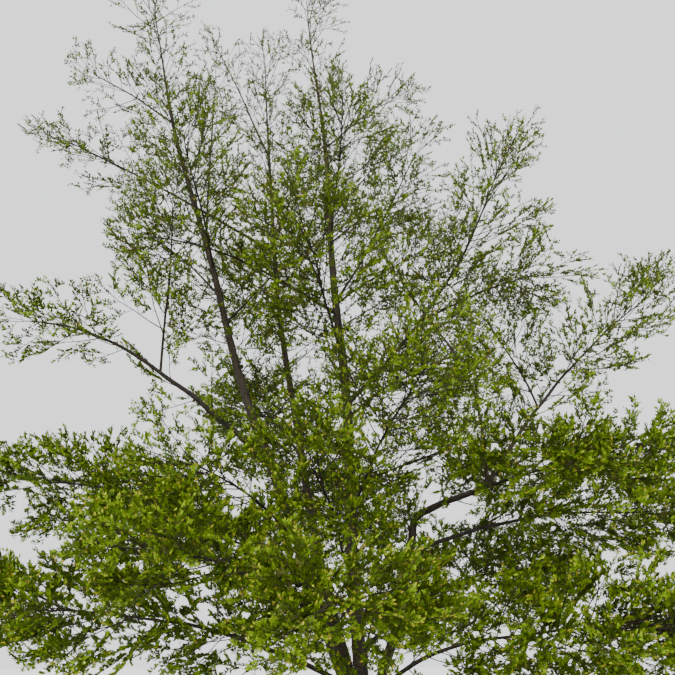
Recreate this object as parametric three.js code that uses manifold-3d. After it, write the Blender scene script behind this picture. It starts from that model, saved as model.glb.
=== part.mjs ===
// A cutleaf alder, fifteen metres tall: four stems from one stool, long low boughs, open tiers of foliage.
// Millimetres and degrees, +Z up. The origin is the middle of the flat cut at ground level.
// Heading 0 is +X, 90 is +Y; rise is measured up from the level. The long bare bough is on the -X side.
import * as THREE from "three";
import { mergeVertices } from "three/addons/utils/BufferGeometryUtils.js";
import Module from "manifold-3d";

const wasm = await Module();
wasm.setup();

// Sizes that hold for the whole tree
const seam = 0.3; // clearance between a limb and what it grows from
const limbPieces = 48; // straight pieces in the middle line of a limb
const wander = 5; // how far a limb strays from its even curve, in degrees
const wanderWaves = 2.5; // strays along one limb
const taperPower = 0.85; // 1 is an even taper, less keeps a limb stout for longer
const flareHeight = 260; // height over which the stool's flare dies away
const flareSpread = 235; // how far the flare stands out from the trunk at ground level
const flareRoots = 5; // buttresses around the stool
const flareRipple = 0.3; // depth of the hollows between them
const footSpacing = 1.7; // above 1, the trunk's rings gather towards the ground

// Sizes that hold for every mass of foliage
const twigsPerMass = 5; // and one fewer on a mass of short reach
const shortReach = 1000;
const flattest = 0.6; // height of a level mass's room, as a share of its width
const roomEdge = 0.6; // how far a mass's room runs past its reach, as a share of a spray
const twigLean = [64, 36]; // angle between a mass's stem and its twigs, at the stem's foot and tip
const leanSway = 8;
const rollSway = 55; // how far a twig strays from its even place around the stem, in degrees
const longestAt = 0.35; // share of the stem at which the twigs are longest
const shortestTwig = 0.55; // as a share of the longest
const twigSway = 0.12; // how unequal the twigs are
const lastTwig = 0.97; // share of the stem at which the twigs end
const sideAngle = 0.9; // sideways part of a side spray's direction, for each part along its twig
const sideFrom = 0.3; // share of a twig's bare length below its side sprays
const sideSprays = 2; // on each twig, besides the one at its tip
const sprayLength = 0.72; // of a spray of leaves, as a share of its mass's reach
const sprayWidth = 0.5; // as a share of its length
const sprayThickness = 0.02; // as a share of its length
const sprayWaist = 0.45; // share of its length at which it is widest
const sprayTilt = 1.2; // most that a spray is turned about its length, in radians
const sprayInset = 0.3; // share of the spray at a twig's tip that lies within the mass's reach
const spraySway = 0.15; // how unequal the sprays are
const sprayTries = [1, 0.75, 0.55]; // a spray that has no room is tried again at these sizes, then left out
const twigRadius = 11; // at a twig's root
const shootRadius = 7; // at a spray's root
const stemTip = 9; // radius at a mass's own tip
const stemTaper = 0.005; // radius a mass's stem gains for each length towards its foot
const clearOfLimbs = 20; // least air between foliage and a limb
const clearOfMasses = 0.06; // least air between two masses, as a share of their reach
const goldenAngle = 137.5;
const slivers = [1, 2, 3]; // facets smaller than these are dissolved in turn once a mass is joined
const cutSlivers = 0.05; // and smaller than this once a solid has been cut clear of its neighbours
const stemPieces = 4; // straight pieces in a mass's stem

// Limbs: length, radius at foot and tip, where they leave which limb, and how they run.
const limbs = [
  { name: "trunk", length: 13550, foot: 135, tip: 17,
    heading: 182, veer: -7, rise: 88, bend: -4, sides: 10, steps: 12 },
  { name: "left_stem", from: "trunk", at: 0.02, length: 12900, foot: 118, tip: 17,
    heading: 197, veer: -3, rise: 66, bend: 11, sides: 7, steps: 10 },
  { name: "middle_stem", from: "trunk", at: 0.02, length: 13200, foot: 100, tip: 17,
    heading: 156, veer: -30, rise: 72, bend: 14, sides: 6, steps: 10 },
  { name: "right_stem", from: "trunk", at: 0.02, length: 3500, foot: 96, tip: 72,
    heading: 6, veer: -8, rise: 66, bend: 18, sides: 7, steps: 4 },
  { name: "right_bough", from: "right_stem", at: 1, length: 1460, foot: 68, tip: 48,
    heading: -45, veer: 37, rise: 21, bend: -8 },
  { name: "right_riser", from: "right_bough", at: 1, length: 3000, foot: 34, tip: 20,
    heading: 270, veer: -100, rise: 92, bend: -42 },
  { name: "right_far_bough", from: "right_bough", at: 1, length: 2800, foot: 42, tip: 26,
    heading: 30, veer: -18, rise: 55, bend: -8 },
  { name: "right_side_bough", from: "right_stem", at: 0.82, length: 2300, foot: 44, tip: 28,
    heading: 18, veer: -10, rise: 24, bend: -14 },
  { name: "long_right_bough", from: "trunk", at: 0.42, length: 2700, foot: 44, tip: 26,
    heading: -24, veer: 1, rise: 39, bend: 14 },
  { name: "left_bough", from: "left_stem", at: 0.35, length: 2640, foot: 62, tip: 34,
    heading: 195, veer: 9, rise: 43, bend: -13 },
  { name: "mid_left_bough", from: "left_stem", at: 0.2, length: 2100, foot: 40, tip: 24,
    heading: 180, veer: 6, rise: 32, bend: -8 },
  { name: "low_left_bough", from: "left_stem", at: 0.055, length: 3000, foot: 48, tip: 26,
    heading: 210, veer: 4, rise: 24, bend: -12 },
  { name: "front_left_bough", from: "left_stem", at: 0.13, length: 1900, foot: 42, tip: 26,
    heading: 244, veer: 4, rise: 22, bend: -10 },
  { name: "front_bough", from: "trunk", at: 0.05, length: 2700, foot: 46, tip: 26,
    heading: 274, veer: -16, rise: 38, bend: -24 },
  { name: "front_right_bough", from: "trunk", at: 0.04, length: 2500, foot: 46, tip: 26,
    heading: 312, veer: 12, rise: 40, bend: -30 },
  { name: "back_right_bough", from: "trunk", at: 0.1, length: 2300, foot: 46, tip: 28,
    heading: 46, veer: -6, rise: 38, bend: -18 },
  { name: "back_bough", from: "trunk", at: 0.2, length: 2300, foot: 44, tip: 28,
    heading: 84, veer: 4, rise: 40, bend: -16 },
  { name: "back_left_bough", from: "middle_stem", at: 0.16, length: 2300, foot: 44, tip: 28,
    heading: 136, veer: 8, rise: 34, bend: -14 },
];

// Masses: each is one stem that leaves a limb's tip or side, with twigs up to reach long all along it.
// bare is the share of the stem below its first twig.
const masses = [
  { name: "trunk_top", on: "trunk", at: 1, length: 1150, reach: 750,
    heading: 180, rise: 85, bend: 0, bare: 0 },
  { name: "left_stem_top", on: "left_stem", at: 1, length: 1350, reach: 850,
    heading: 190, rise: 78, bend: 4, bare: 0 },
  { name: "middle_stem_top", on: "middle_stem", at: 1, length: 1200, reach: 800,
    heading: 120, rise: 83, bend: 0, bare: 0 },
  { name: "left_leader", on: "left_stem", at: 0.68, length: 3450, reach: 700,
    heading: -52, veer: -18, rise: 93, bend: -10, bare: 0.4 },
  { name: "left_upright", on: "left_bough", at: 0.95, length: 3350, reach: 1100,
    heading: -26, veer: 19, rise: 86, bend: 6, bare: 0.2 },
  { name: "left_bough_end", on: "left_bough", at: 1, length: 2300, reach: 850,
    heading: 200, veer: -2, rise: 36, bend: -40, bare: 0.1 },
  { name: "mid_left_end", on: "mid_left_bough", at: 1, length: 2900, reach: 1200,
    heading: 186, rise: 22, bend: -22, bare: 0 },
  { name: "low_left_end", on: "low_left_bough", at: 1, length: 2700, reach: 1350,
    heading: 208, rise: 10, bend: -12, bare: 0 },
  { name: "front_left_end", on: "front_left_bough", at: 1, length: 3000, reach: 1350,
    heading: 244, rise: 12, bend: -12, bare: 0 },
  { name: "front_end", on: "front_bough", at: 1, length: 2700, reach: 1300,
    heading: 262, rise: 12, bend: -14, bare: 0 },
  { name: "front_right_end", on: "front_right_bough", at: 1, length: 3100, reach: 1400,
    heading: 322, rise: 9, bend: -12, bare: 0 },
  { name: "right_side_end", on: "right_side_bough", at: 1, length: 2700, reach: 1350,
    heading: 6, rise: 10, bend: -16, bare: 0 },
  { name: "right_front", on: "right_bough", at: 0.8, length: 3200, reach: 1250,
    heading: 304, rise: 10, bend: -16, bare: 0.2 },
  { name: "right_far_end", on: "right_far_bough", at: 1, length: 2600, reach: 1100,
    heading: 6, rise: 48, bend: -12, bare: 0 },
  { name: "right_far_side", on: "right_far_bough", at: 0.7, length: 2700, reach: 1100,
    heading: 118, veer: 20, rise: 62, bend: -6, bare: 0.15 },
  { name: "right_riser_top", on: "right_riser", at: 1, length: 1600, reach: 1000,
    heading: 170, rise: 56, bend: 12, bare: 0 },
  { name: "long_right_end", on: "long_right_bough", at: 1, length: 2900, reach: 1100,
    heading: -22, rise: 54, bend: 20, bare: 0 },
  { name: "long_right_side", on: "long_right_bough", at: 0.75, length: 2500, reach: 1150,
    heading: -4, rise: 30, bend: -16, bare: 0.1 },
  { name: "high_right", on: "trunk", at: 0.57, length: 3450, reach: 950,
    heading: -12, veer: -14, rise: 57, bend: 8, bare: 0.35 },
  { name: "back_right_end", on: "back_right_bough", at: 1, length: 2900, reach: 1350,
    heading: 40, rise: 20, bend: -20, bare: 0 },
  { name: "back_end", on: "back_bough", at: 1, length: 2800, reach: 1300,
    heading: 88, rise: 24, bend: -22, bare: 0 },
  { name: "back_left_end", on: "back_left_bough", at: 1, length: 2900, reach: 1350,
    heading: 144, rise: 20, bend: -18, bare: 0 },
  { name: "trunk_left_low", on: "trunk", at: 0.55, length: 3900, reach: 900,
    heading: 212, veer: -2, rise: 28, bend: -32, bare: 0.3 },
  { name: "trunk_right_low", on: "trunk", at: 0.565, length: 3000, reach: 1150,
    heading: 24, veer: 7, rise: 42, bend: -12, bare: 0.25 },
  { name: "trunk_right_high", on: "trunk", at: 0.815, length: 2200, reach: 800,
    heading: 13, veer: 11, rise: 48, bend: -3, bare: 0.2 },
  { name: "trunk_front_high", on: "trunk", at: 0.64, length: 3000, reach: 1100,
    heading: 276, rise: 42, bend: -14, bare: 0.25 },
  { name: "trunk_front_middle", on: "trunk", at: 0.46, length: 3700, reach: 1250,
    heading: 258, rise: 38, bend: -24, bare: 0.3 },
  { name: "trunk_front_low", on: "trunk", at: 0.27, length: 4200, reach: 1350,
    heading: 288, rise: 38, bend: -24, bare: 0.3 },
  { name: "trunk_front_bottom", on: "trunk", at: 0.18, length: 3900, reach: 1300,
    heading: 260, rise: 36, bend: -26, bare: 0.3 },
  { name: "trunk_back_low", on: "trunk", at: 0.4, length: 4050, reach: 1350,
    heading: 61, rise: 37, bend: -20, bare: 0.3 },
  { name: "trunk_back_high", on: "trunk", at: 0.66, length: 3000, reach: 1100,
    heading: 66, rise: 42, bend: -10, bare: 0.25 },
  { name: "left_stem_far_high", on: "left_stem", at: 0.88, length: 1900, reach: 700,
    heading: 186, rise: 38, bend: -12, bare: 0.1 },
  { name: "left_stem_far_low", on: "left_stem", at: 0.6, length: 2700, reach: 800,
    heading: 158, rise: 50, bend: -18, bare: 0.15 },
  { name: "left_stem_front_high", on: "left_stem", at: 0.64, length: 2800, reach: 1050,
    heading: 262, rise: 40, bend: -14, bare: 0.2 },
  { name: "left_stem_front_low", on: "left_stem", at: 0.24, length: 3600, reach: 1250,
    heading: 246, rise: 24, bend: -22, bare: 0.3 },
  { name: "left_stem_right", on: "left_stem", at: 0.56, length: 2750, reach: 800,
    heading: 40, veer: 4, rise: 48, bend: 4, bare: 0.35 },
  { name: "middle_stem_far_left", on: "middle_stem", at: 0.7, length: 4950, reach: 900,
    heading: 202, veer: 2, rise: 25, bend: -9, bare: 0.35 },
  { name: "middle_leader", on: "middle_stem", at: 0.88, length: 3100, reach: 650,
    heading: 180, veer: 11, rise: 68, bend: -4, bare: 0.2 },
  { name: "middle_stem_right", on: "middle_stem", at: 0.78, length: 2000, reach: 850,
    heading: 36, rise: 46, bend: 0, bare: 0.15 },
  { name: "middle_stem_back_high", on: "middle_stem", at: 0.6, length: 3000, reach: 1100,
    heading: 116, rise: 40, bend: -14, bare: 0.2 },
  { name: "middle_stem_back_low", on: "middle_stem", at: 0.36, length: 4000, reach: 1300,
    heading: 112, rise: 36, bend: -20, bare: 0.3 },
  { name: "trunk_right_bottom", on: "trunk", at: 0.31, length: 3200, reach: 1250,
    heading: 24, veer: -4, rise: 26, bend: -12, bare: 0.25 },
];

// What it is made of
const bark = new THREE.MeshStandardMaterial({ color: "#5d564a", roughness: 0.95, metalness: 0 });
const foliage = new THREE.MeshStandardMaterial({ color: "#6f8f2e", roughness: 0.6, metalness: 0 });

const up = new THREE.Vector3(0, 0, 1);
const radians = THREE.MathUtils.degToRad;
const mix = THREE.MathUtils.lerp;

// An even random number from 0 to 1 that is the same for the same seed and count.
function dice(seed, count) {
  const x = Math.sin(seed * 127.1 + count * 311.7) * 43758.5453;
  return x - Math.floor(x);
}

// The same, from -1 to 1.
function sway(seed, count) {
  return 2 * dice(seed, count) - 1;
}

function direction(heading, rise) {
  const level = Math.cos(radians(rise));
  return new THREE.Vector3(
    level * Math.cos(radians(heading)),
    level * Math.sin(radians(heading)),
    Math.sin(radians(rise)),
  );
}

// The middle line of a limb from its foot: heading and rise turn evenly, and stray a little on the way.
function spineOf(limb, foot) {
  const points = [foot.clone()];
  const ways = [];
  const phase = dice(limb.seed, 1);
  const pieces = limb.on ? stemPieces : limbPieces;
  for (let k = 0; k < pieces; k++) {
    const t = (k + 0.5) / pieces;
    const stray = wander * Math.sin(2 * Math.PI * (wanderWaves * t + phase));
    const lift = wander * Math.sin(2 * Math.PI * (wanderWaves * t + 2 * phase + 0.25));
    const heading = limb.heading + (limb.veer ?? 0) * t + stray;
    const way = direction(heading, limb.rise + limb.bend * t + 0.5 * lift);
    ways.push(way);
    points.push(points[k].clone().addScaledVector(way, limb.length / pieces));
  }
  return { points, ways };
}

// The place and direction at share t of a spine.
function along(spine, t) {
  const pieces = spine.ways.length;
  const k = Math.min(pieces - 1, Math.floor(t * pieces));
  const place = spine.points[k].clone().lerp(spine.points[k + 1], t * pieces - k);
  return { place, way: spine.ways[k] };
}

function radiusAt(limb, t) {
  return limb.tip + (limb.foot - limb.tip) * (1 - t) ** taperPower;
}

// The two directions square to a way: level, and up from it. A plumb limb takes +X as its level.
function sideAndRise(way) {
  const side = Math.abs(way.z) > 0.995 ? new THREE.Vector3(1, 0, 0) : way.clone().cross(up).normalize();
  const rise = side.clone().cross(way).normalize();
  side.copy(way).cross(rise).normalize();
  return { side, rise };
}

// The stool's flare, added to the trunk's radius near the ground.
function flareAt(limb, height, angle) {
  if (limb.from || limb.on) return 0;
  const ripple = 1 - flareRipple + flareRipple * Math.cos(flareRoots * angle);
  return flareSpread * Math.exp(-height / flareHeight) * ripple;
}

// A limb's solid: a cylinder bent along its spine and tapered. grow makes it thicker and longer, as a cutter.
function limbGeometry(limb, spine, grow = 0) {
  const sides = limb.sides ?? 5;
  const steps = limb.steps ?? 4;
  const cylinder = new THREE.CylinderGeometry(1, 1, 1, sides, steps);
  const corners = cylinder.getAttribute("position");
  const outward = grow / Math.cos(Math.PI / sides);
  const frame = sideAndRise(along(spine, 0.5).way);
  for (let i = 0; i < corners.count; i++) {
    const step = Math.round((corners.getY(i) + 0.5) * steps);
    const t = limb.from || limb.on ? step / steps : (step / steps) ** footSpacing;
    const { place, way } = along(spine, t);
    const square = step === 0 && !limb.from && !limb.on ? up : way;
    const side = frame.side.clone().addScaledVector(square, -frame.side.dot(square)).normalize();
    const rise = side.clone().cross(square).normalize();
    const angle = Math.atan2(corners.getZ(i), corners.getX(i));
    const share = Math.min(1, Math.hypot(corners.getX(i), corners.getZ(i)));
    const radius = share * (radiusAt(limb, t) + flareAt(limb, place.z, angle) + outward);
    place.addScaledVector(side, radius * Math.cos(angle)).addScaledVector(rise, -radius * Math.sin(angle));
    if (step === 0) place.addScaledVector(square, -grow);
    if (step === steps) place.addScaledVector(square, grow);
    corners.setXYZ(i, place.x, place.y, place.z);
  }
  return cylinder;
}

// A closed mesh as a solid that can be cut and joined, turned outwards if it came inside out.
function solidOf(geometry) {
  const bare = geometry.clone();
  bare.deleteAttribute("normal");
  bare.deleteAttribute("uv");
  const merged = mergeVertices(bare, 1e-3);
  const vertProperties = new Float32Array(merged.attributes.position.array);
  const build = (triVerts) => new wasm.Manifold(new wasm.Mesh({ numProp: 3, vertProperties, triVerts }));
  const corners = new Uint32Array(merged.index.array);
  const solid = build(corners);
  if (solid.volume() > 0) return solid;
  const swapped = [0, 2, 1];
  return build(corners.map((_, i) => corners[i - (i % 3) + swapped[i % 3]]));
}

function geometryOf(solid) {
  const mesh = solid.getMesh();
  const geometry = new THREE.BufferGeometry();
  const positions = new Float32Array(mesh.numVert * 3);
  for (let i = 0; i < mesh.numVert; i++)
    positions.set(mesh.vertProperties.subarray(i * mesh.numProp, i * mesh.numProp + 3), i * 3);
  geometry.setAttribute("position", new THREE.BufferAttribute(positions, 3));
  geometry.setIndex(new THREE.BufferAttribute(new Uint32Array(mesh.triVerts), 1));
  geometry.computeVertexNormals();
  return geometry;
}

// The largest body of a solid: what a cut leaves on the far side, and what hangs on nothing, is dropped.
function mainBody(solid) {
  return solid.decompose().reduce((best, body) => (body.volume() > best.volume() ? body : best));
}

// Each limb's spine, and each mass's stem, start on the spine of what bears them.
const grown = new Map();
[...limbs, ...masses].forEach((limb, i) => {
  limb.seed = i + 1;
  const bearer = grown.get(limb.from ?? limb.on);
  if (limb.on) {
    limb.tip = stemTip;
    limb.foot = limb.at === 1 ? bearer.limb.tip : stemTip + limb.length * stemTaper;
    limb.sides = 4;
    limb.steps = stemPieces;
  }
  const foot = bearer ? along(bearer.spine, limb.at).place : new THREE.Vector3();
  grown.set(limb.name, { limb, spine: spineOf(limb, foot) });
});

// How flat a mass is and how far it spreads: a level one is a flat tier, an upright one is round.
for (const mass of masses) {
  const { spine } = grown.get(mass.name);
  const start = along(spine, mass.bare).place;
  const end = along(spine, 1).place;
  mass.upright = end.clone().sub(start).normalize().z ** 2;
  mass.flat = mix(flattest, 1, mass.upright);
  mass.spray = mass.reach * sprayLength;
  mass.core = [0, 1, 2, 3].map((k) => along(spine, mix(mass.bare, 1, k / 3)).place);
}

// How far out a place is in a mass: 0 at its leafy stem, 1 at the edge of its reach.
function depthIn(mass, place) {
  let least = Infinity;
  for (let k = 0; k < 3; k++) {
    const offset = place.clone().sub(nearestOn(place, mass.core[k], mass.core[k + 1]));
    least = Math.min(least, Math.hypot(offset.x, offset.y, offset.z / mass.flat));
  }
  return least / (mass.reach + mass.spray * roomEdge);
}

// True where a place is within the mass's own reach and not nearer the stem of another.
function inOwnRoom(mass, place) {
  const own = depthIn(mass, place);
  return own < 1 && masses.every((other) => other === mass || depthIn(other, place) > own + clearOfMasses);
}

// The place on the line from a to b that is nearest to a place.
function nearestOn(place, a, b) {
  const line = b.clone().sub(a);
  const t = THREE.MathUtils.clamp(place.clone().sub(a).dot(line) / line.lengthSq(), 0, 1);
  return a.clone().addScaledVector(line, t);
}

// True where a ball of the given radius touches no limb and no other mass's stem.
function clearOf(mass, place, radius) {
  for (const { limb, spine } of grown.values()) {
    if (limb === mass) continue;
    const allowed = radius + clearOfLimbs;
    const stride = limb.on ? 1 : 4;
    for (let k = 0; k < spine.ways.length; k += stride) {
      const [a, b] = [spine.points[k], spine.points[k + stride]];
      const thick = radiusAt(limb, k / spine.ways.length) + flareAt(limb, a.z, 0);
      if (place.distanceTo(nearestOn(place, a, b)) < thick + allowed) return false;
    }
  }
  return true;
}

// A shoot: a bare three-sided twig that ends in one flat pointed spray of leaves, with a ridge on its back.
// A side shoot has no bare twig, so its spray starts at its root.
function shootGeometry(root, way, bare, length, tilt) {
  const rings = [
    { from: 0, wide: twigRadius, thick: twigRadius },
    { from: bare, wide: shootRadius, thick: shootRadius },
    {
      from: bare + length * sprayWaist,
      wide: (length * sprayWidth) / Math.sqrt(3),
      thick: (length * sprayThickness) / 1.5,
    },
    { from: bare + length, wide: 0, thick: 0 },
  ].slice(bare > 0 ? 0 : 1);
  const last = rings.length - 1;
  const cone = new THREE.ConeGeometry(1, 1, 3, last);
  const corners = cone.getAttribute("position");
  const { side, rise } = sideAndRise(way);
  const across = side.clone().multiplyScalar(Math.cos(tilt)).addScaledVector(rise, Math.sin(tilt));
  const back = rise.clone().multiplyScalar(Math.cos(tilt)).addScaledVector(side, -Math.sin(tilt));
  for (let i = 0; i < corners.count; i++) {
    const ring = Math.round((corners.getY(i) + 0.5) * last);
    const { from, wide, thick } = rings[ring];
    const narrowed = ring < last ? 1 - ring / last : 1;
    const place = root.clone().addScaledVector(way, from);
    place.addScaledVector(across, (wide * corners.getX(i)) / narrowed);
    place.addScaledVector(back, (thick * corners.getZ(i)) / narrowed);
    corners.setXYZ(i, place.x, place.y, place.z);
  }
  return cone;
}

// True where the spray of a shoot is in the mass's own room and clear of limbs.
function sprayFits(mass, shoot, root, way, bare, length) {
  const corners = shoot.getAttribute("position");
  for (let i = 0; i < corners.count; i++)
    if (!inOwnRoom(mass, new THREE.Vector3().fromBufferAttribute(corners, i))) return false;
  return [0.2, 0.5, 0.9].every((share) =>
    clearOf(mass, root.clone().addScaledVector(way, bare + length * share), length * sprayWidth * 0.5),
  );
}

// The twigs of a mass leave its stem at even steps and all round, but flatter on a level stem.
function twigsOf(mass, count) {
  const { spine } = grown.get(mass.name);
  const twigs = [];
  for (let k = 0; k < count; k++) {
    const share = (k + 0.5) / count;
    const { place, way } = along(spine, mix(mass.bare, lastTwig, share));
    const { side, rise } = sideAndRise(way);
    const roll = radians(k * mix(180, goldenAngle, mass.upright) + rollSway * sway(mass.seed, 10 + k));
    const outward = side.multiplyScalar(Math.cos(roll)).addScaledVector(rise, Math.sin(roll) * mass.flat);
    const lean = radians(mix(...twigLean, share) + leanSway * sway(mass.seed, 30 + k));
    const aim = way.clone().multiplyScalar(Math.cos(lean));
    aim.addScaledVector(outward.normalize(), Math.sin(lean)).normalize();
    const longest = mass.reach * mix(1, shortestTwig, 2 * Math.abs(share - longestAt));
    const length = longest * (1 + twigSway * sway(mass.seed, 50 + k)) - mass.spray * sprayInset;
    twigs.push({ place, aim, length, number: k });
  }
  return twigs;
}

// One mass: its stem, then every shoot that fits, all joined in one solid.
function massSolid(mass) {
  const { spine } = grown.get(mass.name);
  const parts = [solidOf(limbGeometry(mass, spine))];
  // Adds the largest shoot that has room, and says how long its bare twig is.
  const addShoot = (root, way, bare, draw) => {
    const tilt = sprayTilt * sway(mass.seed, 100 + draw);
    for (const size of sprayTries) {
      const length = mass.spray * size * (1 + spraySway * sway(mass.seed, 70 + draw));
      const shoot = shootGeometry(root, way, bare * size, length, tilt);
      if (!sprayFits(mass, shoot, root, way, bare * size, length)) continue;
      parts.push(solidOf(shoot));
      return bare * size;
    }
    return 0;
  };
  addShoot(along(spine, 0.99).place, along(spine, 1).way, 0, 0);
  for (const twig of twigsOf(mass, mass.reach < shortReach ? twigsPerMass - 1 : twigsPerMass)) {
    const bare = addShoot(twig.place, twig.aim, twig.length, twig.number + 1);
    const { side } = sideAndRise(twig.aim);
    for (let j = 1; j <= sideSprays && bare > 0; j++) {
      const share = mix(sideFrom, 1, j / (sideSprays + 1));
      const root = twig.place.clone().addScaledVector(twig.aim, bare * share);
      const out = (j + twig.number) % 2 ? -1 : 1;
      const draw = 10 + twig.number * sideSprays + j;
      addShoot(root, twig.aim.clone().addScaledVector(side, out * sideAngle).normalize(), 0, draw);
    }
  }
  const whole = parts.reduce((joined, part) => joined.add(part)).asOriginal();
  return slivers.reduce((solid, size) => solid.simplify(size), whole);
}

const tree = new THREE.Group();

function addNode(name, solid, material) {
  const mesh = new THREE.Mesh(geometryOf(solid), material);
  mesh.name = name;
  tree.add(mesh);
}

// A solid is cut clear of the limbs made before it, so its foot sits on the one that bears it.
const cutters = [];
function fitToNeighbours(solid) {
  const cut = cutters.reduce((rest, cutter) => rest.subtract(cutter), solid);
  return mainBody(cut).asOriginal().simplify(cutSlivers);
}

for (const limb of limbs) {
  const { spine } = grown.get(limb.name);
  addNode(limb.name, fitToNeighbours(solidOf(limbGeometry(limb, spine))), bark);
  cutters.push(solidOf(limbGeometry(limb, spine, seam)));
}
for (const mass of masses) addNode(mass.name, fitToNeighbours(massSolid(mass)), foliage);

export default tree;
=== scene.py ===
# A cutleaf alder in young leaf: bark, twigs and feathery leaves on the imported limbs. Metres and degrees.
import math

import bpy
import numpy as np
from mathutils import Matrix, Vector


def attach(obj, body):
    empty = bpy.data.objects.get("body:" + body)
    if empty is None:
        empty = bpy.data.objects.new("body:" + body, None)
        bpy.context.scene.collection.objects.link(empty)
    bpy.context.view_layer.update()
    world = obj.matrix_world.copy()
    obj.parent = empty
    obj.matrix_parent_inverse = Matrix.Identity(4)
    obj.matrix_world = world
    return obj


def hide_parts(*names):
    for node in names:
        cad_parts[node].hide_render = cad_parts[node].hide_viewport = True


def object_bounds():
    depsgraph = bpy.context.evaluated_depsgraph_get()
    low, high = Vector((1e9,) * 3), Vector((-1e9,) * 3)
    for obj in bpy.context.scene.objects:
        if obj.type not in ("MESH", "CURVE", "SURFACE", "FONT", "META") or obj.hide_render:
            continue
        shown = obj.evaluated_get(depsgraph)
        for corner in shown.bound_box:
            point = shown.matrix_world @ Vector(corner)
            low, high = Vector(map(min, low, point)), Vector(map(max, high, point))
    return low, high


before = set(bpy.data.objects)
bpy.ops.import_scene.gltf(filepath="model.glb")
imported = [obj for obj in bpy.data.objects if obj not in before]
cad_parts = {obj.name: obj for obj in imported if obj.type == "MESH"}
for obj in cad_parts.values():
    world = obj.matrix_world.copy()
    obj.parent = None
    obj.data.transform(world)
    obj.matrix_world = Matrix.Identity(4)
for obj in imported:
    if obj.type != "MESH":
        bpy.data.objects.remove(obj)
cad_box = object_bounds()

# How limbs and the stems of masses run, the same as in the solids
LIMB_PIECES = 48  # straight pieces in the middle line of a limb
STEM_PIECES = 4  # and in the stem of a mass
WANDER = 5  # how far a limb strays from its even curve, in degrees
WANDER_WAVES = 2.5  # strays along one limb
LIFT_SHARE = 0.5  # size of the strays up and down, as a share of the sideways ones
LIFT_STEP = 0.25  # how far they are out of step with those
TAPER_POWER = 0.85  # 1 is an even taper, less keeps a limb stout for longer
FLARE_HEIGHT = 0.26  # height over which the stool's flare dies away
FLARE_SPREAD = 0.235  # how far the flare stands out from the trunk at ground level
FLARE_ROOTS = 5  # buttresses around the stool
FLARE_RIPPLE = 0.3  # depth of the hollows between them
FOOT_SPACING = 1.7  # above 1, the trunk's rings gather towards the ground
PLUMB = 0.995  # upward part of a direction above which it counts as plumb
GOLDEN_ANGLE = 137.5
SCATTER = (127.1, 311.7, 43758.5453)  # numbers that make a random one of a seed and a count

# How a mass fills its room, the same as in the solids
SPRAY_LENGTH = 0.72  # as a share of the mass's reach
FLATTEST = 0.6  # height of a level mass's room, as a share of its width
ROOM_EDGE = 0.6  # how far the room runs past the reach, as a share of a spray
CORE_PIECES = 3  # straight pieces in the leafy part of a stem, which its room lies around
TWIG_LEAN = (64, 36)  # angle between stem and twigs, at the stem's foot and tip
LEAN_SWAY = 8  # how far a twig strays from that angle
ROLL_SWAY = 70  # how far it strays from its even place around the stem, more than in the solids
LONGEST_AT = 0.35  # share of the stem at which the twigs are longest
SHORTEST_TWIG = 0.55  # as a share of the longest
TWIG_SWAY = 0.12  # how unequal the twigs are
ROLL_DRAWS, LEAN_DRAWS, LENGTH_DRAWS = 10, 30, 50  # counts from which a seed's dice give each
LAST_TWIG = 0.97  # share of the stem at which the twigs end
TOP_TWIG = 0.99  # share of the stem at which the one at its tip starts
SPRAY_INSET = 0.3  # share of a spray that lies within the mass's reach
STEM_TIP = 0.009  # radius at a mass's own tip
STEM_TAPER = 0.005  # radius that its stem gains for each length towards its foot

# How it is carried on to finer twigs and leaves
STILL_BARE = 0.55  # share of a stem's bare length that is without these twigs as well
TWIG_SPACING = 0.1  # along the stem of a mass that reaches 1 m, and closer on a wider one
TWIG_TRIES = (1, 0.8, 0.6, 0.4)  # a twig that has no room is tried again at these lengths
TWIG_PIECES = 5  # straight pieces in a twig
TWIG_STRAY = 0.07  # how far a twig strays at each piece
TWIG_LIFT = (0.22, 0.3)  # how far a twig turns up towards its tip, on a level mass and on an upright one
SPRAY_ROLL = (0.8, 1.6)  # how far a spray rolls about its twig, in radians, on the same two
CLEAR_OF_MASSES = 0.02  # least distance between the twigs of two masses, as a share of their rooms
MAY_CROSS = -9  # in its place for what may grow on into the next mass's room
TWIG_EDGE = 0.93  # share of its mass's room that a twig may reach, which leaves room for its shoots
LIMB_TWIG_EDGE = 1.8  # how many times as far twigs on the limbs may reach, so that no stretch is bare
FIRST_TESTED = 2  # corner of a twig from which it is tested for room
CLEAR_OF_LIMBS = 0.012  # least air between a twig and a limb
LIMB_STRIDE = 4  # straight pieces of a limb that are tested as one
BATCH = 20000  # places tested at a time, which bounds the memory
LIMB_TWIG_GAP = (0.15, 0.13)  # between the twigs that a stem bears itself, and a bough
LIMB_TWIG_CROWDING = 0.7  # below 1, they stand closer together towards the limb's tip
LIMB_TWIG_LENGTHS = (1.4, 0.85)  # where they start and at the limb's tip
LIMB_TWIG_LEAN = (62, 40)  # angle between them and the limb, there and at its tip
OWNER_AT = 0.7  # share of such a twig's length at which the mass that it belongs to is looked up
LEAFY_FROM = 0.25  # share of a limb's length at which they start
SPARSE_LIMBS = ("left_bough", "right_riser")  # whose twigs stand further apart, so that the limbs show
SPARSE = 2.2  # how much further
SHOOTS = dict(gap=0.155, first=0.28, share_of_rest=0.7, least=0.16, most=0.7, pieces=2)  # on a twig
SPURS = dict(gap=0.115, first=0.22, share_of_rest=0.42, least=0.06, most=0.24, pieces=1)  # on a shoot
SHOOT_LENGTHS = (0.75, 1.2)  # range of their lengths about the even ones
SHOOT_LEAN = (52, 36)  # angle between a shoot and its twig, at the twig's foot and tip
SHOOT_LEAN_SWAY = 7  # how far it strays from that
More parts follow.
